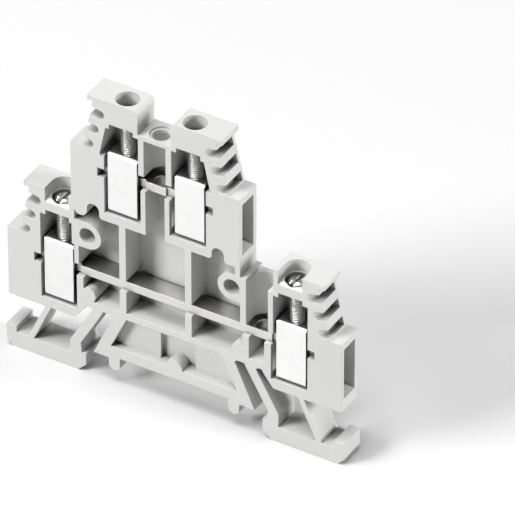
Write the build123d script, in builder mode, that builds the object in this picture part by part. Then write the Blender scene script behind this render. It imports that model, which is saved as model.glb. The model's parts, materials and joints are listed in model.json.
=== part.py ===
import os
from math import cos, radians, sin

from build123d import *

os.makedirs("parts", exist_ok=True)

# Sizes are in millimetres. The origin is on the middle line of the mounting rail, on the top
# of its flanges and halfway through the block. The open side of the block faces -Y.

# Housing thickness and walls
thickness = 5.2
back_wall = 0.6
tunnel_wall = 0.75
tunnel_back = 0.95

# The two levels: where the four clamps stand
level_offset = 21.8
upper_centre = -3.3
upper_reach = 6.3
outer_step = 2.75

# Head of a clamp station, outwards from the screw axis and upwards from its own level
wall_reach = 9.6
head_inner = 3.15
head_top = 30.2
lip_reach = 6.3
lip_height = 0.9
notch_reach = 5.35
incline_top = 28.1
incline_reach = 7.5
ledge_top = 19.7
head_round = 1.0
block_bottom = 5.9

# Three troughs along each inclined shoulder
trough_radius = 0.85
trough_reach = 3.95
trough_top = 26.95
trough_step_out = 1.05
trough_step_down = 3.2
trough_tilt = 14
trough_count = 3
trough_length = 4.5

# Pocket of a clamp, with the room it leaves beside the cage
outer_room = 0.5
inner_room = 0.45
low_room = 0.4
pocket_base = 1.8
pocket_top = 25.7
pocket_step = 0.9
pocket_crown = 2.25
lobe_start = 2.9
lobe_reach = 3.6
lobe_drop = 6.3
lobe_radius = 0.45
corner = 0.3
wall_thickness = 1.25
relief_reach = 5.45
relief_radius = 1.15
relief_height = 2.5
relief_round = 0.65

# Screwdriver bores, and the ledge and sill under them
bore_wall = 0.25
notch_wall = 0.05
ledge = 0.7
sill_height = 2.15
sill_chamfer = 0.45

# Screws
screw_diameter = 2.5
screw_clearance = 0.08
screw_rest = 0.3
head_diameter = 3.2
head_chamfer = 0.4
slot_turn = 80
slot_width = 0.6
slot_depth = 0.8
tip_diameter = 1.8
tip_length = 0.8
tip_gap = 0.3

# Current bars
bar_thickness = 1.6
bar_bottom = 14.6
bar_front = 0.85
bar_back = 0.45
bar_neck_room = 0.4
bar_room = 0.8
upper_bar_room = 1.4
bar_tongue = 1.2
bar_play = 0.1
lower_bar_inset = 0.25
upper_bar_inset = 0.8
upper_bar_shift = 0.3
tap_diameter = 2.5
tap_sink = 0.15

# Clamp cages
cage_width = 5.5
cage_room = 0.3
cage_head_room = 1.65
cage_sheet = 0.5
cage_base = 1.0
cage_crown = 1.9
cage_rest = 0.3
cage_bend = 0.7
tooth_depth = 0.15
tooth_width = 0.4
tooth_spacing = 1.2
tooth_count = 3

# Wire entries
entry_bottom = 8.2
entry_top = 18.3
throat_bottom = 9.2
throat_top = 13.9
throat_reach = 5.6

# Middle of the housing: heights from the rail, or up and down from the upper block's floor
beam_bottom = 8.95
beam_top = 10.3
gusset_reach = 1.9
rib_width = 1.25
left_rib_shift = 0.05
right_rib_shift = 0.15
short_rib_shift = 1.0
upper_base = 6.0
left_web_wall = 1.3
left_bay_wall = 0.55
bay_rise = 0.4
tongue_reach = 7.9
tongue_rise = 0.7
tongue_radius = 1.25
low_channel = 1.8
channel_wall = 0.25
cross_ledge = 0.85
cross_rise = 25.6
cross_hole = 1.5
cross_ring = 2.0
cross_ring_depth = 0.3
side_bore_room = 2.6
side_drop = 2.4
side_wall = 1.0
boss_radius = 2.6
boss_hole = 1.5
left_boss_inset = 3.0
left_boss_drop = 4.4
right_boss_inset = 1.6
right_boss_drop = 4.3
peg_radius = 1.4
peg_rise = 1.0
left_peg_inset = 3.0
right_peg_inset = 0.2
foot_peg_radius = 1.65

# Rail seat and spring feet, measured from the edge of the rail's flange
rail_width = 35.0
rail_sheet = 1.0
rail_play = 0.1
seat_gap = 2.3
seat_width = 2.9
lug_width = 2.1
lug_drop = 2.3
bridge_lift = 0.45
foot_window_top = 9.0
foot_window_low = 12.0
foot_window_sill = 2.5
foot_window_depth = 1.5
foot_window_lean = 3.0
foot_pad = 3.3
foot_pad_depth = 1.0
arm_lean = 4.0
arm_width = 2.0
arm_knee = 0.9
arm_gap = 0.2
slit_radius = 0.55
foot_top = -1.75
foot_bottom = -4.8
foot_length = 14.5
hook_grip = 0.8
hook_chamfer = 1.5
foot_chamfer = 1.2
toe_width = 1.9
toe_top = -0.5
strut_reach = 5.7
strut_lean = 3.7
strut_width = 1.1

# Depths that follow from the thickness
front = Plane.XZ.offset(thickness / 2)
recess_depth = thickness - back_wall
axis_depth = recess_depth / 2
axis_y = axis_depth - thickness / 2
tunnel_width = thickness - tunnel_wall - tunnel_back
bore_radius = axis_depth - bore_wall
notch_radius = axis_depth - notch_wall
channel_radius = axis_depth - channel_wall
cage_depth = recess_depth - 2 * cage_room
bar_width = recess_depth - bar_front - bar_back
bar_neck = cage_depth - 2 * cage_sheet - 2 * bar_neck_room

# Pocket of a clamp, outwards from the screw axis and upwards from its level
pocket_outer = cage_width / 2 + outer_room
pocket_inner = cage_width / 2 + inner_room
pocket_inner_low = pocket_inner + low_room
pocket_floor = block_bottom + pocket_base
bar_top = bar_bottom + bar_thickness
bar_end = pocket_outer + bar_tongue
slot_top = bar_top + bar_room
upper_slot_top = level_offset + bar_top + upper_bar_room
cage_bottom = pocket_floor + cage_rest
cage_height = bar_top + cage_head_room + cage_crown - cage_bottom
sill = pocket_top + sill_height

# Places along the rail
upper_left_axis = upper_centre - upper_reach
upper_right_axis = upper_centre + upper_reach
upper_left_wall = upper_left_axis - wall_reach
upper_right_wall = upper_right_axis + wall_reach
lower_reach = outer_step - upper_left_wall
wall_side = lower_reach - pocket_inner_low
side_bore = wall_side - side_bore_room
gusset_side = lower_reach - head_inner - gusset_reach
left_rib = upper_left_axis + left_rib_shift
right_rib = upper_right_axis - right_rib_shift
short_rib = upper_right_wall + short_rib_shift
left_web = upper_left_wall + left_web_wall

# Heights in the middle of the housing
upper_floor = level_offset + upper_base
side_top = upper_floor - side_drop
cross_top = level_offset + cross_rise
left_boss = (upper_left_wall + left_boss_inset, upper_floor - left_boss_drop)
right_boss = (upper_right_wall - right_boss_inset, upper_floor - right_boss_drop)
left_peg = (upper_left_wall + left_peg_inset, beam_top + peg_rise)
right_peg = (upper_right_wall - right_peg_inset, beam_top + peg_rise)

# The seat and feet on the rail
flange_inner = rail_width / 2 + rail_play
seat_reach = flange_inner - seat_gap
seat_inner = seat_reach - seat_width
arm_foot = flange_inner + arm_gap
arm_root = flange_inner - arm_lean
arm_top = beam_bottom - slit_radius
foot_reach = flange_inner + foot_length
hook_reach = flange_inner - hook_grip
strut_top = flange_inner + strut_reach
strut_foot = strut_top + strut_lean

stations = {
    "lower_left": (-lower_reach, 0, -1),
    "lower_right": (lower_reach, 0, 1),
    "upper_left": (upper_left_axis, level_offset, -1),
    "upper_right": (upper_right_axis, level_offset, 1),
}


def placed(points, station):
    """Points given outwards from a screw axis and upwards from its level, on the front plane."""
    axis_x, level, side = station
    return [(axis_x + side * out, level + up) for out, up in points]


def mirrored(points):
    """The same points on the other side of the rail."""
    return [(-x, z) for x, z in points]


def box(x_low, x_high, z_low, z_high):
    """Corner points of an upright rectangle."""
    return [(x_low, z_low), (x_high, z_low), (x_high, z_high), (x_low, z_high)]


def rounded(points, corner_point, radius):
    """A face through the points, with one of its corners rounded."""
    face = Face(Wire.make_polygon(points))
    return face.fillet_2d(radius, [face.vertices().sort_by_distance(corner_point)[0]])


with BuildPart() as housing:
    # Four heads, each with its lip, notch, inclined shoulder and ledge
    with BuildSketch(front):
        for station in stations.values():
            bottom = upper_base if station[1] else block_bottom
            head = [
                (-head_inner, bottom),
                (wall_reach, bottom),
                (wall_reach, ledge_top),
                (incline_reach, ledge_top),
                (notch_reach, incline_top),
                (notch_reach, head_top - lip_height),
                (lip_reach, head_top - lip_height),
                (lip_reach, head_top),
                (-head_inner, head_top),
            ]
            outline = placed(head, station)
            add(rounded(outline, outline[-1], head_round if station[1] else corner))
        # The body between the heads
        body_top = level_offset + pocket_floor
        Polygon(*box(upper_left_wall, upper_right_wall, beam_bottom, body_top), align=None)
        Polygon(*box(upper_left_axis, upper_right_axis, upper_floor, cross_top), align=None)
        Polygon(*box(upper_right_axis, lower_reach, beam_bottom, side_top), align=None)
        Polygon(*box(-lower_reach, upper_left_axis, beam_bottom, sill), align=None)
        # Gussets between the lower heads and the beam
        gusset = [
            (gusset_side, arm_top),
            (gusset_side + gusset_reach, block_bottom),
            (lower_reach, block_bottom),
            (lower_reach, beam_top),
            (gusset_side, beam_top),
        ]
        Polygon(*gusset, align=None)
        Polygon(*mirrored(gusset), align=None)
    extrude(amount=-thickness)

    # The seat on the rail, with its two lugs
    with BuildSketch(front):
        seat = [
            (-seat_reach, 0),
            (-seat_inner, 0),
            (-seat_inner, bridge_lift),
            (seat_inner, bridge_lift),
            (seat_inner, 0),
            (seat_reach, 0),
            (arm_root - arm_width, arm_top),
            (arm_root - arm_width, beam_top),
            (arm_width - arm_root, beam_top),
            (arm_width - arm_root, arm_top),
        ]
        Polygon(*seat, align=None)
        lug_centre = seat_inner - lug_width / 2
        lug_round = lug_width / 2 - lug_drop
        lug = box(seat_inner - lug_width, seat_inner, lug_round, bridge_lift + corner)
        Polygon(*lug, align=None)
        Polygon(*mirrored(lug), align=None)
        with Locations((lug_centre, lug_round), (-lug_centre, lug_round)):
            Circle(lug_width / 2)
    extrude(amount=-thickness)

    # Spring arms with hooks, feet with toes, and the thin struts
    with BuildSketch(front):
        arm = [
            (arm_root, beam_top),
            (arm_root, arm_top),
            (arm_foot, arm_knee),
            (flange_inner, -rail_sheet - rail_play),
            (hook_reach, -rail_sheet - rail_play),
            (hook_reach, foot_bottom + hook_chamfer),
            (hook_reach + hook_chamfer, foot_bottom),
            (foot_reach - foot_chamfer, foot_bottom),
            (foot_reach, foot_bottom + foot_chamfer),
            (foot_reach, toe_top),
            (foot_reach - toe_width, toe_top),
            (foot_reach - toe_width, foot_top),
            (arm_foot + arm_width, foot_top),
            (arm_foot + arm_width, arm_knee),
            (arm_root + arm_width, arm_top),
            (arm_root + arm_width, beam_top),
        ]
        strut = [
            (strut_top, block_bottom + corner),
            (strut_top + strut_width, block_bottom + corner),
            (strut_foot + strut_width, foot_top - corner),
            (strut_foot, foot_top - corner),
        ]
        for shape in (arm, strut):
            Polygon(*shape, align=None)
            Polygon(*mirrored(shape), align=None)
    extrude(amount=-thickness)

    # Rounded roots of the slits on both sides of each spring arm
    slits = [(arm_root - arm_width, arm_root), (arm_root + arm_width, gusset_side)]
    with BuildSketch(front):
        for low, high in slits:
            root = box(low, high, arm_top, beam_bottom)
            Polygon(*root, align=None)
            Polygon(*mirrored(root), align=None)
        for low, high in slits:
            middle = box(low + slit_radius, high - slit_radius, arm_top - corner, beam_bottom)
            Polygon(*middle, align=None, mode=Mode.SUBTRACT)
            Polygon(*mirrored(middle), align=None, mode=Mode.SUBTRACT)
            for x in (low + slit_radius, high - slit_radius):
                with Locations((x, arm_top), (-x, arm_top)):
                    Circle(slit_radius, mode=Mode.SUBTRACT)
    extrude(amount=-thickness)

    # Pockets for the clamps, open at the front
    with BuildSketch(front):
        for station in stations.values():
            shoulder = pocket_top - (lobe_drop if station[1] else pocket_step)
            pocket = [
                (-pocket_inner_low, pocket_floor),
                (pocket_outer, pocket_floor),
                (pocket_outer, shoulder),
                (pocket_crown, shoulder),
                (pocket_crown, pocket_top),
                (-pocket_crown, pocket_top),
                (-pocket_crown, pocket_top - pocket_step),
                (-pocket_inner, pocket_top - pocket_step),
                (-pocket_inner, slot_top),
                (-pocket_inner_low, slot_top),
            ]
            Polygon(*placed(pocket, station), align=None)
        # The upper pockets widen into a lobe that follows the shoulder
        for name in ("upper_left", "upper_right"):
            lobe = [
                (pocket_crown, pocket_top - pocket_step),
                (lobe_start, pocket_top - pocket_step),
                (lobe_reach + lobe_radius, pocket_top - lobe_drop),
                (pocket_crown, pocket_top - lobe_drop),
            ]
            Polygon(*placed(lobe, stations[name]), align=None)
            with Locations(*placed([(lobe_reach, pocket_top - lobe_drop)], stations[name])):
                Circle(lobe_radius)
    extrude(amount=-recess_depth, mode=Mode.SUBTRACT)

    # Slots that take the two current bars, with a notch for each end
    with BuildSketch(front):
        Polygon(*box(-wall_side, wall_side, bar_bottom, slot_top), align=None)
        upper_slot = box(
            upper_left_axis, upper_right_axis, level_offset + bar_bottom, upper_slot_top
        )
        Polygon(*upper_slot, align=None)
        for station in stations.values():
            notch = box(pocket_crown, bar_end + bar_play, bar_bottom, bar_top + bar_play)
            Polygon(*placed(notch, station), align=None)
    extrude(amount=-recess_depth, mode=Mode.SUBTRACT)

    # Hollow middle, above and below the lower bar
    with BuildSketch(front):
        low_left = wall_thickness - wall_side
        Polygon(*box(low_left, wall_side - wall_thickness, beam_top, bar_bottom), align=None)
        Polygon(*box(left_web, upper_right_wall, slot_top, side_top), align=None)
        Polygon(*box(left_web, upper_right_wall - side_wall, slot_top, upper_floor), align=None)
        bay = (upper_left_wall + left_bay_wall, left_web)
        Polygon(*box(*bay, left_boss[1] + boss_radius, upper_floor + bay_rise), align=None)
    extrude(amount=-recess_depth, mode=Mode.SUBTRACT)

    # Round-topped reliefs in the floor of the upper block, flared at the bottom
    with BuildSketch(front):
        reliefs = (upper_left_axis - relief_reach, upper_right_axis + relief_reach)
        flare = relief_radius + relief_round
        crown = upper_floor + relief_height - relief_radius
        for x in reliefs:
            base = box(x - flare, x + flare, upper_floor - corner, upper_floor + relief_round)
            Polygon(*base, align=None)
        for x in reliefs:
            height = upper_floor + relief_round
            with Locations((x - flare, height), (x + flare, height)):
                Circle(relief_round, mode=Mode.SUBTRACT)
        for x in reliefs:
            neck = box(x - relief_radius, x + relief_radius, upper_floor - corner, crown)
            Polygon(*neck, align=None)
            with Locations((x, crown)):
                Circle(relief_radius)
    extrude(amount=-recess_depth, mode=Mode.SUBTRACT)

    # Upper channel: open below the bar, half round above it
    with BuildSketch(front):
        Polygon(
            *box(
                upper_centre - low_channel,
                upper_centre + low_channel,
                upper_floor - corner,
                level_offset + bar_bottom,
            ),
            align=None,
        )
    extrude(amount=-recess_depth, mode=Mode.SUBTRACT)
    with BuildSketch(Plane.XY.offset(upper_slot_top)):
        with Locations((upper_centre, axis_y)):
            Circle(channel_radius)
        with Locations((upper_centre, axis_y - thickness / 2)):
            Rectangle(2 * channel_radius, thickness)
    extrude(amount=cross_top - cross_ledge - upper_slot_top, mode=Mode.SUBTRACT)

    # Lower channel: half round, open at the top and the front
    with BuildSketch(Plane.XY.offset(slot_top)):
        with Locations((side_bore, axis_y)):
            Circle(channel_radius)
        with Locations((side_bore, axis_y - thickness / 2)):
            Rectangle(2 * channel_radius, thickness)
    extrude(amount=side_top - slot_top, mode=Mode.SUBTRACT)

    # Ribs, webs, bosses and pegs standing in the hollow middle
    with BuildSketch(front):
        for x in (left_rib, right_rib):
            half = rib_width / 2
            Polygon(*box(x - half, x + half, beam_bottom, bar_bottom), align=None)
            Polygon(*box(x - half, x + half, slot_top, upper_floor + corner), align=None)
        half = rib_width / 2
        Polygon(*box(short_rib - half, short_rib + half, beam_bottom, bar_bottom), align=None)
        for (x, z), wall in ((left_boss, upper_left_wall), (right_boss, side_bore - channel_radius)):
            low = min(x, wall)
            high = max(x, wall)
            Polygon(*box(low, high, z - boss_radius, z + boss_radius), align=None)
        with Locations(left_boss, right_boss):
            Circle(boss_radius)
        with Locations(left_peg, right_peg):
            Circle(peg_radius)
        with Locations((upper_left_axis - tongue_reach, upper_floor + tongue_rise)):
            Circle(tongue_radius)
    extrude(amount=-thickness)

    # Holes through the bosses
    with BuildSketch(front):
        with Locations(left_boss, right_boss):
            Circle(boss_hole)
    extrude(amount=-thickness, mode=Mode.SUBTRACT)

    # Troughs along the shoulders, closed by the back wall
    with BuildSketch(front):
        out = cos(radians(trough_tilt))
        up = sin(radians(trough_tilt))
        for station in stations.values():
            for row in range(trough_count):
                reach = trough_reach + row * trough_step_out
                height = trough_top - row * trough_step_down
                trough = [
                    (reach - trough_radius * up, height + trough_radius * out),
                    (reach + trough_radius * up, height - trough_radius * out),
                    (
                        reach + trough_radius * up + trough_length * out,
                        height - trough_radius * out + trough_length * up,
                    ),
                    (
                        reach - trough_radius * up + trough_length * out,
                        height + trough_radius * out + trough_length * up,
                    ),
                ]
                Polygon(*placed(trough, station), align=None)
                with Locations(*placed([(reach, height)], station)):
                    Circle(trough_radius)
    extrude(amount=-recess_depth, mode=Mode.SUBTRACT)

    # Bores for the screw heads and the screwdriver, with a guide hole under each
    for axis_x, level, side in stations.values():
        with BuildSketch(Plane.XY.offset(level + pocket_top + ledge)):
            with Locations((axis_x, axis_y)):
                Circle(bore_radius)
        extrude(amount=head_top - pocket_top - ledge, mode=Mode.SUBTRACT)
        with BuildSketch(Plane.XY.offset(level + pocket_top)):
            with Locations((axis_x, axis_y)):
                Circle(screw_diameter / 2 + screw_clearance)
        extrude(amount=ledge, mode=Mode.SUBTRACT)

    # Notches that open the lower bores to the front, above a chamfered sill
    for axis_x in (-lower_reach, lower_reach):
        with BuildSketch(Plane.XY.offset(sill)):
            with Locations((axis_x, axis_y)):
                Circle(notch_radius)
            with Locations((axis_x, axis_y - thickness / 2)):
                Rectangle(2 * notch_radius, thickness)
        extrude(amount=head_top - sill, mode=Mode.SUBTRACT)
        with BuildSketch(Plane.YZ.offset(axis_x - notch_radius)):
            edge = [
                (-thickness / 2, sill - sill_chamfer),
                (sill_chamfer - thickness / 2, sill),
                (-thickness / 2, sill),
            ]
            Polygon(*edge, align=None)
        extrude(amount=2 * notch_radius, mode=Mode.SUBTRACT)

    # Hole with a shallow ring in the ledge over the upper channel
    with BuildSketch(Plane.XY.offset(cross_top)):
        with Locations((upper_centre, axis_y)):
            Circle(cross_hole)
    extrude(amount=-cross_ledge, mode=Mode.SUBTRACT)
    with BuildSketch(Plane.XY.offset(cross_top)):
        with Locations((upper_centre, axis_y)):
            Circle(cross_ring)
    extrude(amount=-cross_ring_depth, mode=Mode.SUBTRACT)

    # Funnel-shaped wire entries between a front and a back wall
    with BuildSketch(front.offset(-tunnel_wall)):
        for station in stations.values():
            entry = [
                (pocket_crown, throat_bottom),
                (throat_reach, throat_bottom),
                (wall_reach, entry_bottom),
                (wall_reach + corner, entry_bottom),
                (wall_reach + corner, entry_top),
                (wall_reach, entry_top),
                (throat_reach, throat_top),
                (pocket_crown, throat_top),
            ]
            Polygon(*placed(entry, station), align=None)
    extrude(amount=-tunnel_width, mode=Mode.SUBTRACT)

    # Shallow window in the seat, with a deeper pad, and the peg on its sill
    with BuildSketch(front):
        window = [
            (-foot_window_low, foot_window_sill),
            (foot_window_low, foot_window_sill),
            (foot_window_low - foot_window_lean, foot_window_top),
            (foot_window_lean - foot_window_low, foot_window_top),
        ]
        Polygon(*window, align=None)
    extrude(amount=-foot_window_depth, mode=Mode.SUBTRACT)
    with BuildSketch(front):
        Polygon(*box(-foot_pad, foot_pad, foot_window_sill, foot_window_top), align=None)
    extrude(amount=-foot_window_depth - foot_pad_depth, mode=Mode.SUBTRACT)
    with BuildSketch(front):
        with Locations((0, foot_window_sill)):
            Circle(foot_peg_radius)
    extrude(amount=-thickness)

housing.part.label = "housing"
export_step(housing.part, "parts/housing.step")

# Current bars: wide in the middle, necked down where they pass through the cages
lower_wide = wall_side - lower_bar_inset
upper_wide = upper_reach - pocket_inner_low - upper_bar_inset
upper_long = upper_reach + bar_end
bars = {
    "lower_current_bar": (0, 0, 0, lower_wide, lower_reach + bar_end, side_bore),
    "upper_current_bar": (
        upper_centre,
        level_offset,
        upper_bar_shift,
        upper_wide,
        upper_long,
        upper_centre,
    ),
}
bar_y = bar_front + bar_width / 2 - thickness / 2
for name, (middle, level, shift, wide, long, tap_x) in bars.items():
    with BuildPart() as bar:
        with BuildSketch(Plane.XY.offset(level + bar_bottom)):
            with Locations((middle - shift, bar_y)):
                Rectangle(2 * wide, bar_width)
            with Locations((middle, axis_y)):
                Rectangle(2 * long, bar_neck)
        extrude(amount=bar_thickness)
        with BuildSketch(Plane.XY.offset(level + bar_bottom)):
            with Locations((tap_x, axis_y)):
                Circle(tap_diameter / 2)
        extrude(amount=bar_thickness, mode=Mode.SUBTRACT)
        rim = bar.edges().filter_by(GeomType.CIRCLE).group_by(Axis.Z)[-1]
        chamfer(rim, tap_sink)
    bar.part.label = name
    export_step(bar.part, f"parts/{name}.step")

# Clamp cages: sheet folded round into a closed yoke, tapped at the top
for name, (axis_x, level, side) in stations.items():
    cage_low = level + cage_bottom
    with BuildPart() as cage:
        with BuildSketch(Plane.YZ.offset(axis_x - cage_width / 2)):
            with Locations((axis_y, cage_low + cage_height / 2)):
                RectangleRounded(cage_depth, cage_height, cage_bend)
            inside_height = cage_height - cage_base - cage_crown
            with Locations((axis_y, cage_low + cage_base + inside_height / 2)):
                Rectangle(cage_depth - 2 * cage_sheet, inside_height, mode=Mode.SUBTRACT)
        extrude(amount=cage_width)
        with BuildSketch(Plane.XY.offset(cage_low + cage_height)):
            with Locations((axis_x, axis_y)):
                Circle(screw_diameter / 2 + screw_clearance)
        extrude(amount=-cage_crown, mode=Mode.SUBTRACT)
        # Grooves across the base that grip the wire
        with BuildSketch(Plane.XY.offset(cage_low + cage_base)):
            with Locations((axis_x, axis_y)):
                with GridLocations(tooth_spacing, 0, tooth_count, 1):
                    Rectangle(tooth_width, cage_depth - 2 * cage_sheet)
        extrude(amount=-tooth_depth, mode=Mode.SUBTRACT)
    cage.part.label = f"{name}_cage"
    export_step(cage.part, f"parts/{name}_cage.step")

# Clamp screws: a slotted head flush with the sill, a plain tip at the bottom
for name, (axis_x, level, side) in stations.items():
    tip = level + bar_top + tip_gap
    under_head = level + pocket_top + ledge + screw_rest
    top = level + sill
    with BuildPart() as screw:
        with BuildSketch(Plane.XY.offset(tip)):
            with Locations((axis_x, axis_y)):
                Circle(tip_diameter / 2)
        extrude(amount=tip_length)
        with BuildSketch(Plane.XY.offset(tip + tip_length)):
            with Locations((axis_x, axis_y)):
                Circle(screw_diameter / 2)
        extrude(amount=top - tip - tip_length)
        with BuildSketch(Plane.XY.offset(under_head)):
            with Locations((axis_x, axis_y)):
                Circle(head_diameter / 2)
        extrude(amount=top - under_head)
        crown = screw.edges().filter_by(GeomType.CIRCLE).group_by(Axis.Z)[-1]
        chamfer(crown, head_chamfer)
        with BuildSketch(Plane.XY.offset(top)):
            with Locations(Location((axis_x, axis_y), slot_turn)):
                Rectangle(head_diameter + corner, slot_width)
        extrude(amount=-slot_depth, mode=Mode.SUBTRACT)
    screw.part.label = f"{name}_screw"
    export_step(screw.part, f"parts/{name}_screw.step")
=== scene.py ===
import json
import math

import bmesh
import bpy
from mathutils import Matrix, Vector


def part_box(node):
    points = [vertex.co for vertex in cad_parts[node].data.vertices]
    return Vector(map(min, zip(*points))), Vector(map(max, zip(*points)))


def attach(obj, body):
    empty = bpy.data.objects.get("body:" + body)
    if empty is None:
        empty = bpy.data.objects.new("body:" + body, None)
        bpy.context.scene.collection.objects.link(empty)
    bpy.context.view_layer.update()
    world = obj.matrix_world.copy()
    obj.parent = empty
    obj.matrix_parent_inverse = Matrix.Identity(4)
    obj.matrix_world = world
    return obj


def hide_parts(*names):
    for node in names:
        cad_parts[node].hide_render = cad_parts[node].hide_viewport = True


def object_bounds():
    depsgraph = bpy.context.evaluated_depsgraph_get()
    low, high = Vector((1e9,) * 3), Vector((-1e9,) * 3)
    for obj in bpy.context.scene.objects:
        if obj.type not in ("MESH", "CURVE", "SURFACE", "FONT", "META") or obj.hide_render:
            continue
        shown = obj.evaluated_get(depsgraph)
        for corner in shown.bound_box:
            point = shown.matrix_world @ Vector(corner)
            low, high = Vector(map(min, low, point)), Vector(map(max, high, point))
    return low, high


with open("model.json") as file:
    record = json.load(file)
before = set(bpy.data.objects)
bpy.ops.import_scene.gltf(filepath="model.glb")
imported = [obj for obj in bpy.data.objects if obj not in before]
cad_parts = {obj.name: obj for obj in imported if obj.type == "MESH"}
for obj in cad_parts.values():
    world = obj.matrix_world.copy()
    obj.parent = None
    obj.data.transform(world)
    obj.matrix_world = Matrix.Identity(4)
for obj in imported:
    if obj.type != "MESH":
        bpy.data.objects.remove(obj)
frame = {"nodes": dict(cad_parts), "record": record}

cad_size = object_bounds()
MM = 0.001

# The double level terminal block: finishes on its CAD pieces, screws with cut threads in
# place of the plain ones, a pale floor, soft light and the photograph's view. Lengths are
# in metres, apart from the camera's lens and sensor, which Blender takes in millimetres.

# Camera: the viewing angle of the photograph, through a long lens
AIM = Vector((14.33 * MM, 0.0, 29.10 * MM))
VIEW_AZIMUTH = math.radians(30.49)
VIEW_ELEVATION = math.radians(37.17)
VIEW_DISTANCE = 1366.2 * MM
LENS = 594.2
SENSOR_WIDTH = 36.0
CLIP_END = 10.0

# Stage
FLOOR_HEIGHT = cad_size[0][2]
FLOOR_SPAN = 4.0
FLOOR_COLOUR = (0.53, 0.53, 0.53, 1.0)
FLOOR_ROUGHNESS = 0.8
WORLD_COLOUR = (1.0, 1.0, 1.0, 1.0)
WORLD_STRENGTH = 0.02

# Soft boxes, aimed at the middle of the block. Each has its azimuth from the block's front
# towards the right and its elevation in degrees, then its distance, size and power.
LIT_POINT = Vector((0.0, 0.0, 25 * MM))
KEY = (-38.0, 31.0, 2.0, 0.70, 49.0)
TOP = (-30.0, 80.0, 2.0, 1.00, 43.0)
SIDE = (102.0, 16.0, 2.0, 0.55, 42.0)

# Colours of the finishes, in linear light
HOUSING_GREY = (0.44, 0.44, 0.436, 1.0)
HOUSING_PALE = (0.48, 0.48, 0.476, 1.0)
# Painted shade: the deep grey laid into the housing's hollows, where shade falls
HOUSING_PAINTED_SHADE = (0.10, 0.10, 0.10, 1.0)
ZINC = (0.90, 0.90, 0.895, 1.0)
TIN = (0.70, 0.695, 0.68, 1.0)
STEEL = (0.72, 0.72, 0.71, 1.0)

# Shades of a colour, as shares of it
# Share for the painted highlight on the housing's edges
MOULDED_HIGHLIGHT_SHARE = 1.04
RUBBED_SHADE = 1.06
DULL_PLATING_SHADE = 0.86
DULL_SCREW_SHADE = 0.84
# Share for the painted shade in the metals' hollows
METAL_PAINTED_SHADE = 0.3

# Patterns: noise scales in waves per metre, how finely each noise is broken up, and the
# stretch that draws it out into lines along one axis
MOULDED_TONE_SCALE = 90.0
DRAWN_LINE_SCALE = 1500.0
PLATING_CLOUD_SCALE = 420.0
GRAIN_DETAIL = 4.0
LINE_DETAIL = 5.0
CLOUD_DETAIL = 3.0
ALONG_X = (0.04, 1.0, 1.0)
ALONG_Z = (1.0, 1.0, 0.04)

# Roughness of the metals, and how far it swings about that value
PLATED_ROUGHNESS = 0.34
SCREW_ROUGHNESS = 0.32
METAL_SPREAD = 0.1

# The housing's polyamide
MOULDED_IOR = 1.5
MOULDED_GRAIN_HEIGHT = 0.006 * MM
MOULDED_GRAIN = {"Grain_Scale": 14000.0, "Cloud_Scale": 220.0, "Roughness": 0.5, "Spread": 0.16}

# Heights of the drawn lines and of the screws' clouded plating
BAR_STREAK = 0.003 * MM
CAGE_STREAK = 0.0008 * MM
SCREW_CLOUD_HEIGHT = 0.002 * MM

# Rounding that the shading gives to sharp edges
MOULDED_ROUNDING = 0.12 * MM
BAR_ROUNDING = 0.06 * MM
CAGE_ROUNDING = 0.08 * MM
SCREW_ROUNDING = 0.03 * MM

# How wide the pale edges are (painted highlight on the housing, rubbed plating on the metals),
# how far round a point a hollow is felt, how much of it has to be shut in before painted
# shade darkens it, and how fast each mask then rises
MOULDED_HIGHLIGHT_EDGE = {"Width": 0.18 * MM, "Gain": 1.6}
PLATED_EDGE = {"Width": 0.08 * MM, "Gain": 1.2}
MOULDED_PAINTED_SHADE = {"Reach": 2.6 * MM, "Start": 0.5, "Gain": 3.2}
PLATED_PAINTED_SHADE = {"Reach": 5.0 * MM, "Start": 0.25, "Gain": 2.6}
SCREW_PAINTED_SHADE = {"Reach": 1.2 * MM, "Start": 0.35, "Gain": 1.6}

# Rays that the shading nodes send out
ROUNDING_SAMPLES = 8
EDGE_SAMPLES = 6
PAINTED_SHADE_SAMPLES = 8

# Screw threads: a cut M2.5 thread whose crests reach the shaft's outer radius
SHAFT_RADIUS = 1.25 * MM
CORE_RADIUS = 1.0 * MM
THREAD_PITCH = 0.45 * MM
RIDGE_RADIUS = 0.19 * MM
RIDGE_SIDES = 3
RIDGE_STEPS = 24
SHARP_ANGLE = math.radians(35.0)

# How close a point lies when it counts as on the shaft, and as the same point
NEAR = 0.02 * MM
MERGE_DISTANCE = 0.001 * MM

# Kinds of socket
NUMBER = "NodeSocketFloat"
VECTOR = "NodeSocketVector"
SHAPE = "NodeSocketGeometry"


def feed(tree, target, value):
    """Links a socket into an input, or sets the input to a plain value."""
    if isinstance(value, bpy.types.NodeSocket):
        tree.links.new(value, target)
    else:
        target.default_value = value


def add_node(tree, kind, inputs, **settings):
    """A node with its settings, and with its inputs given as sockets or plain values."""
    node = tree.nodes.new(kind)
    for name, value in settings.items():
        setattr(node, name, value)
    for label, value in inputs.items():
        feed(tree, node.inputs[label], value)
    return node


def new_tree(name, kind, inputs, outputs):
    """A node group, the sockets that come into it and the ones that it puts out."""
    tree = bpy.data.node_groups.new(name, kind)
    for way, sockets in (("INPUT", inputs), ("OUTPUT", outputs)):
        for label, socket_type in sockets.items():
            tree.interface.new_socket(label, in_out=way, socket_type=socket_type)
    entry = tree.nodes.new("NodeGroupInput").outputs
    leave = tree.nodes.new("NodeGroupOutput").inputs
    return tree, entry, leave


def math_node(tree, operation, first, second, clamp=False):
    """A Math node on two sockets or plain numbers."""
    node = add_node(
        tree, "ShaderNodeMath", {0: first, 1: second}, operation=operation, use_clamp=clamp
    )
    return node.outputs[0]


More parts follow.
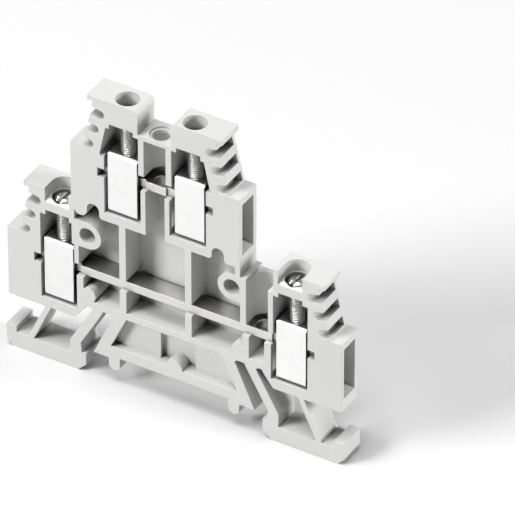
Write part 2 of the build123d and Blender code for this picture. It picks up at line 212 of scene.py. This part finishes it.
def noise_node(tree, place, scale, detail):
    """A Noise texture, from 0 to 1."""
    inputs = {"Vector": place, "Scale": scale, "Detail": detail}
    return add_node(tree, "ShaderNodeTexNoise", inputs).outputs["Fac"]


def swing(tree, middle, pattern, spread):
    """A value that swings about its middle with a pattern that runs from 0 to 1."""
    centred = math_node(tree, "SUBTRACT", pattern, 0.5)
    return math_node(tree, "ADD", middle, math_node(tree, "MULTIPLY", centred, spread))


def grain_group():
    """Fine surface grain: a height for bump, and a roughness that drifts in soft clouds."""
    group, entry, leave = new_tree(
        "fine_grain",
        "ShaderNodeTree",
        {
            "Place": VECTOR,
            "Grain Scale": NUMBER,
            "Cloud Scale": NUMBER,
            "Roughness": NUMBER,
            "Spread": NUMBER,
        },
        {"Height": NUMBER, "Roughness": NUMBER},
    )
    grain = noise_node(group, entry["Place"], entry["Grain Scale"], GRAIN_DETAIL)
    cloud = noise_node(group, entry["Place"], entry["Cloud Scale"], GRAIN_DETAIL)
    rough = swing(group, entry["Roughness"], cloud, entry["Spread"])
    group.links.new(grain, leave["Height"])
    group.links.new(rough, leave["Roughness"])
    return group


def painted_shade_group():
    """How deep a surface point sits in a hollow, from 0 in the open to 1 well inside; it marks
    where painted shade goes.
    """
    group, entry, leave = new_tree(
        "painted_shade_mask",
        "ShaderNodeTree",
        {"Reach": NUMBER, "Start": NUMBER, "Gain": NUMBER},
        {"Mask": NUMBER},
    )
    around = add_node(
        group,
        "ShaderNodeAmbientOcclusion",
        {"Distance": entry["Reach"]},
        samples=PAINTED_SHADE_SAMPLES,
    )
    shut = math_node(group, "SUBTRACT", 1.0, around.outputs["AO"])
    past = math_node(group, "SUBTRACT", shut, entry["Start"], clamp=True)
    mask = math_node(group, "MULTIPLY", past, entry["Gain"], clamp=True)
    group.links.new(mask, leave["Mask"])
    return group


def edge_group():
    """How near a surface point is to an edge, from 0 on a flat to 1 on the edge."""
    group, entry, leave = new_tree(
        "edge_mask",
        "ShaderNodeTree",
        {"Width": NUMBER, "Gain": NUMBER},
        {"Mask": NUMBER},
    )
    bevel = add_node(
        group, "ShaderNodeBevel", {"Radius": entry["Width"]}, samples=EDGE_SAMPLES
    )
    flat = group.nodes.new("ShaderNodeNewGeometry").outputs["True Normal"]
    dot = add_node(
        group,
        "ShaderNodeVectorMath",
        {0: bevel.outputs["Normal"], 1: flat},
        operation="DOT_PRODUCT",
    )
    turn = math_node(group, "SUBTRACT", 1.0, dot.outputs["Value"])
    mask = math_node(group, "MULTIPLY", turn, entry["Gain"], clamp=True)
    group.links.new(mask, leave["Mask"])
    return group


GRAIN = grain_group()
EDGE = edge_group()
PAINTED_SHADE_MASK = painted_shade_group()


def shade(colour, share):
    """A colour made paler or deeper by a share, kept within white."""
    return tuple(min(1.0, share * channel) for channel in colour[:3]) + (1.0,)


class Finish:
    """A material with a Principled shader, Object coordinates and softly rounded edges."""

    def __init__(self, name, rounding):
        self.material = bpy.data.materials.new(name)
        self.material.use_nodes = True
        self.tree = self.material.node_tree
        self.shader = self.tree.nodes["Principled BSDF"]
        self.place = self.tree.nodes.new("ShaderNodeTexCoord").outputs["Object"]
        self.rounded = add_node(
            self.tree, "ShaderNodeBevel", {"Radius": rounding}, samples=ROUNDING_SAMPLES
        ).outputs["Normal"]

    def give(self, label, value):
        """Gives one of the shader's own inputs a socket or a plain value."""
        feed(self.tree, self.shader.inputs[label], value)

    def use(self, group, **values):
        """Places a shared node group with its own values, and returns its outputs.

        An underscore in a value's name stands for the space in the socket's name.
        """
        inputs = {label.replace("_", " "): value for label, value in values.items()}
        return add_node(self.tree, "ShaderNodeGroup", inputs, node_tree=group).outputs

    def noise(self, scale, detail, stretch=None):
        """A Noise pattern on the piece, drawn out where an axis of stretch is small."""
        place = self.place
        if stretch is not None:
            inputs = {"Vector": place, "Scale": stretch}
            place = add_node(self.tree, "ShaderNodeMapping", inputs).outputs["Vector"]
        return noise_node(self.tree, place, scale, detail)

    def mix(self, factor, first, second):
        """Blends two colours, given as sockets or plain values, by a factor socket."""
        node = add_node(self.tree, "ShaderNodeMix", {"Factor": factor}, data_type="RGBA")
        targets = [socket for socket in node.inputs if socket.type == "RGBA"]
        for target, value in zip(targets, (first, second)):
            feed(self.tree, target, value)
        return [socket for socket in node.outputs if socket.type == "RGBA"][0]

    def bump(self, height, distance):
        """Sends a height into the shader's normal, on top of the rounded edges."""
        inputs = {"Height": height, "Distance": distance, "Normal": self.rounded}
        self.give("Normal", add_node(self.tree, "ShaderNodeBump", inputs).outputs["Normal"])


def moulded_polyamide():
    """Light grey moulded plastic: fine satin grain, painted highlights on the edges and painted
    shade in the hollows.
    """
    finish = Finish("moulded_polyamide", MOULDED_ROUNDING)
    grain = finish.use(GRAIN, Place=finish.place, **MOULDED_GRAIN)
    edge = finish.use(EDGE, **MOULDED_HIGHLIGHT_EDGE)["Mask"]
    painted_shade = finish.use(PAINTED_SHADE_MASK, **MOULDED_PAINTED_SHADE)["Mask"]
    cloud = finish.noise(MOULDED_TONE_SCALE, CLOUD_DETAIL)
    body = finish.mix(cloud, HOUSING_GREY, HOUSING_PALE)
    # Painted highlight: the housing's edges are made paler where light catches them
    painted_highlight = finish.mix(edge, body, shade(HOUSING_PALE, MOULDED_HIGHLIGHT_SHARE))
    # Painted shade: the hollow mask darkens the housing's colour where shade falls
    finish.give("Base Color", finish.mix(painted_shade, painted_highlight, HOUSING_PAINTED_SHADE))
    finish.give("Roughness", grain["Roughness"])
    finish.give("IOR", MOULDED_IOR)
    finish.bump(grain["Height"], MOULDED_GRAIN_HEIGHT)
    return finish.material


def plated_metal(name, colour, along, rounding, streak):
    """Plated metal with fine drawn lines along one way, rubbed edges and painted shade in its
    hollows.
    """
    finish = Finish(name, rounding)
    lines = finish.noise(DRAWN_LINE_SCALE, LINE_DETAIL, along)
    cloud = finish.noise(PLATING_CLOUD_SCALE, CLOUD_DETAIL)
    edge = finish.use(EDGE, **PLATED_EDGE)["Mask"]
    painted_shade = finish.use(PAINTED_SHADE_MASK, **PLATED_PAINTED_SHADE)["Mask"]
    tone = finish.mix(cloud, shade(colour, DULL_PLATING_SHADE), colour)
    rubbed = finish.mix(edge, tone, shade(colour, RUBBED_SHADE))
    # Painted shade: the hollow mask darkens the plating where shade falls
    finish.give("Base Color", finish.mix(painted_shade, rubbed, shade(colour, METAL_PAINTED_SHADE)))
    finish.give("Metallic", 1.0)
    finish.give("Roughness", swing(finish.tree, PLATED_ROUGHNESS, lines, METAL_SPREAD))
    finish.bump(lines, streak)
    return finish.material


def plated_screw():
    """Bright plated screw steel, with painted shade between the threads and in the slot."""
    finish = Finish("screw_zinc", SCREW_ROUNDING)
    cloud = finish.noise(PLATING_CLOUD_SCALE, CLOUD_DETAIL)
    painted_shade = finish.use(PAINTED_SHADE_MASK, **SCREW_PAINTED_SHADE)["Mask"]
    tone = finish.mix(cloud, shade(STEEL, DULL_SCREW_SHADE), STEEL)
    # Painted shade: the hollow mask darkens the steel between the threads and in the slot
    finish.give("Base Color", finish.mix(painted_shade, tone, shade(STEEL, METAL_PAINTED_SHADE)))
    finish.give("Metallic", 1.0)
    finish.give("Roughness", swing(finish.tree, SCREW_ROUGHNESS, cloud, METAL_SPREAD))
    finish.bump(cloud, SCREW_CLOUD_HEIGHT)
    return finish.material


finishes = {
    "housing": moulded_polyamide(),
    "current_bar": plated_metal("tinned_brass", TIN, ALONG_X, BAR_ROUNDING, BAR_STREAK),
    "cage": plated_metal("bright_zinc", ZINC, ALONG_Z, CAGE_ROUNDING, CAGE_STREAK),
    "screw": plated_screw(),
}
slots = {piece["node"]: piece["material_slot"] for piece in frame["record"]["subparts"]}
for name, node in frame["nodes"].items():
    node.data.materials.clear()
    node.data.materials.append(finishes[slots[name]])


def thread_tree():
    """Geometry nodes that join a right-hand thread ridge to an upright screw core."""
    tree, entry, leave = new_tree(
        "screw_thread",
        "GeometryNodeTree",
        {
            "Geometry": SHAPE,
            "Start": VECTOR,
            "Crest Radius": NUMBER,
            "Ridge Radius": NUMBER,
            "Pitch": NUMBER,
            "Turns": NUMBER,
        },
        {"Geometry": SHAPE},
    )
    middle = math_node(tree, "SUBTRACT", entry["Crest Radius"], entry["Ridge Radius"])
    helix = add_node(
        tree,
        "GeometryNodeCurveSpiral",
        {
            "Resolution": RIDGE_STEPS,
            "Reverse": True,
            "Rotations": entry["Turns"],
            "Start Radius": middle,
            "End Radius": middle,
            "Height": math_node(tree, "MULTIPLY", entry["Pitch"], entry["Turns"]),
        },
    )
    upright = add_node(
        tree, "GeometryNodeSetCurveNormal", {"Curve": helix.outputs["Curve"]}, mode="Z_UP"
    )
    profile = add_node(
        tree,
        "GeometryNodeCurvePrimitiveCircle",
        {"Resolution": RIDGE_SIDES, "Radius": entry["Ridge Radius"]},
    )
    ridge = add_node(
        tree,
        "GeometryNodeCurveToMesh",
        {
            "Curve": upright.outputs["Curve"],
            "Profile Curve": profile.outputs["Curve"],
            "Fill Caps": True,
        },
    )
    placed = add_node(
        tree,
        "GeometryNodeTransform",
        {"Geometry": ridge.outputs["Mesh"], "Translation": entry["Start"]},
    )
    joined = tree.nodes.new("GeometryNodeJoinGeometry")
    for shape in (entry["Geometry"], placed.outputs["Geometry"]):
        tree.links.new(shape, joined.inputs["Geometry"])
    real = add_node(
        tree, "GeometryNodeRealizeInstances", {"Geometry": joined.outputs["Geometry"]}
    )
    coated = add_node(
        tree,
        "GeometryNodeSetMaterial",
        {"Geometry": real.outputs["Geometry"], "Material": finishes["screw"]},
    )
    tree.links.new(coated.outputs["Geometry"], leave["Geometry"])
    return tree


def screw_core(node_name, axis):
    """A merged copy of the screw with its shaft drawn in to the thread's core.

    Returns the mesh, the height of the shaft's end and the height under the head.
    """
    shell = bmesh.new()
    shell.from_mesh(frame["nodes"][node_name].data)
    bmesh.ops.remove_doubles(shell, verts=shell.verts, dist=MERGE_DISTANCE)
    reach = {vertex: (vertex.co.xy - axis).length for vertex in shell.verts}
    under_head = min(
        vertex.co.z for vertex, radius in reach.items() if radius > SHAFT_RADIUS + NEAR
    )
    shaft = [
        vertex
        for vertex, radius in reach.items()
        if abs(radius - SHAFT_RADIUS) < NEAR and vertex.co.z < under_head + NEAR
    ]
    shaft_end = min(vertex.co.z for vertex in shaft)
    for vertex in shaft:
        vertex.co.xy = axis + (vertex.co.xy - axis) * (CORE_RADIUS / reach[vertex])
    mesh = bpy.data.meshes.new(node_name + "_core")
    shell.to_mesh(mesh)
    shell.free()
    mesh.materials.append(finishes["screw"])
    return mesh, shaft_end, under_head


def threaded_screw(node_name, tree):
    """The clamp screw with its cut thread, on the body of its CAD node."""
    low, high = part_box(node_name)
    axis = Vector(((low[0] + high[0]) / 2, (low[1] + high[1]) / 2))
    core, shaft_end, under_head = screw_core(node_name, axis)
    blank = bpy.data.objects.new(node_name + "_blank", core)
    bpy.context.scene.collection.objects.link(blank)
    modifier = blank.modifiers.new("thread", "NODES")
    modifier.node_group = tree
    values = {
        "Start": (axis.x, axis.y, shaft_end + RIDGE_RADIUS),
        "Crest Radius": SHAFT_RADIUS,
        "Ridge Radius": RIDGE_RADIUS,
        "Pitch": THREAD_PITCH,
        "Turns": (under_head - shaft_end - 2 * RIDGE_RADIUS) / THREAD_PITCH,
    }
    for socket in tree.interface.items_tree:
        if socket.in_out == "INPUT" and socket.name in values:
            modifier[socket.identifier] = values[socket.name]
    bpy.context.view_layer.update()
    evaluated = blank.evaluated_get(bpy.context.evaluated_depsgraph_get())
    shown = bpy.data.meshes.new_from_object(evaluated)
    bpy.data.objects.remove(blank)
    shown.name = node_name + "_threaded"
    shown.shade_smooth()
    shown.set_sharp_from_angle(angle=SHARP_ANGLE)
    screw = bpy.data.objects.new(node_name + "_threaded", shown)
    bpy.context.scene.collection.objects.link(screw)
    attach(screw, node_name + "_body")
    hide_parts(node_name)


THREAD = thread_tree()
for name in sorted(slots):
    if slots[name] == "screw":
        threaded_screw(name, THREAD)


def pale_floor():
    """A plain pale floor under the feet."""
    half = FLOOR_SPAN / 2
    corners = [(-half, -half), (half, -half), (half, half), (-half, half)]
    mesh = bpy.data.meshes.new("floor")
    mesh.from_pydata([(x, y, FLOOR_HEIGHT) for x, y in corners], [], [(0, 1, 2, 3)])
    material = bpy.data.materials.new("pale_floor")
    material.use_nodes = True
    shader = material.node_tree.nodes["Principled BSDF"]
    shader.inputs["Base Color"].default_value = FLOOR_COLOUR
    shader.inputs["Roughness"].default_value = FLOOR_ROUGHNESS
    mesh.materials.append(material)
    floor = bpy.data.objects.new("floor", mesh)
    bpy.context.scene.collection.objects.link(floor)


def direction(azimuth, elevation):
    """Unit vector away from the block, by azimuth from its front to its right, and elevation."""
    level = math.cos(elevation)
    return Vector(
        (math.sin(azimuth) * level, -math.cos(azimuth) * level, math.sin(elevation))
    )


def place_facing(name, data, target, azimuth, elevation, distance):
    """A camera or light that stands off a target in a direction and looks back at it."""
    away = direction(azimuth, elevation)
    placed = bpy.data.objects.new(name, data)
    placed.location = target + away * distance
    placed.rotation_euler = (-away).to_track_quat("-Z", "Y").to_euler()
    bpy.context.scene.collection.objects.link(placed)
    return placed


def soft_box(name, azimuth, elevation, distance, size, power):
    """A square soft box, with its angles in degrees."""
    light = bpy.data.lights.new(name, "AREA")
    light.shape = "SQUARE"
    light.size = size
    light.energy = power
    place_facing(
        name, light, LIT_POINT, math.radians(azimuth), math.radians(elevation), distance
    )


def studio():
    """A key from the left front, light from above and from the right, in a dim white room."""
    world = bpy.data.worlds.new("white_room")
    world.use_nodes = True
    background = world.node_tree.nodes["Background"]
    background.inputs["Color"].default_value = WORLD_COLOUR
    background.inputs["Strength"].default_value = WORLD_STRENGTH
    bpy.context.scene.world = world
    bpy.context.scene.view_settings.view_transform = "Standard"
    soft_box("key", *KEY)
    soft_box("top", *TOP)
    soft_box("side", *SIDE)


def camera():
    """A long lens that frames the block as the photograph does."""
    data = bpy.data.cameras.new("camera")
    data.lens = LENS
    data.sensor_width = SENSOR_WIDTH
    data.clip_end = CLIP_END
    bpy.context.scene.camera = place_facing(
        "camera", data, AIM, VIEW_AZIMUTH, VIEW_ELEVATION, VIEW_DISTANCE
    )


pale_floor()
studio()
camera()
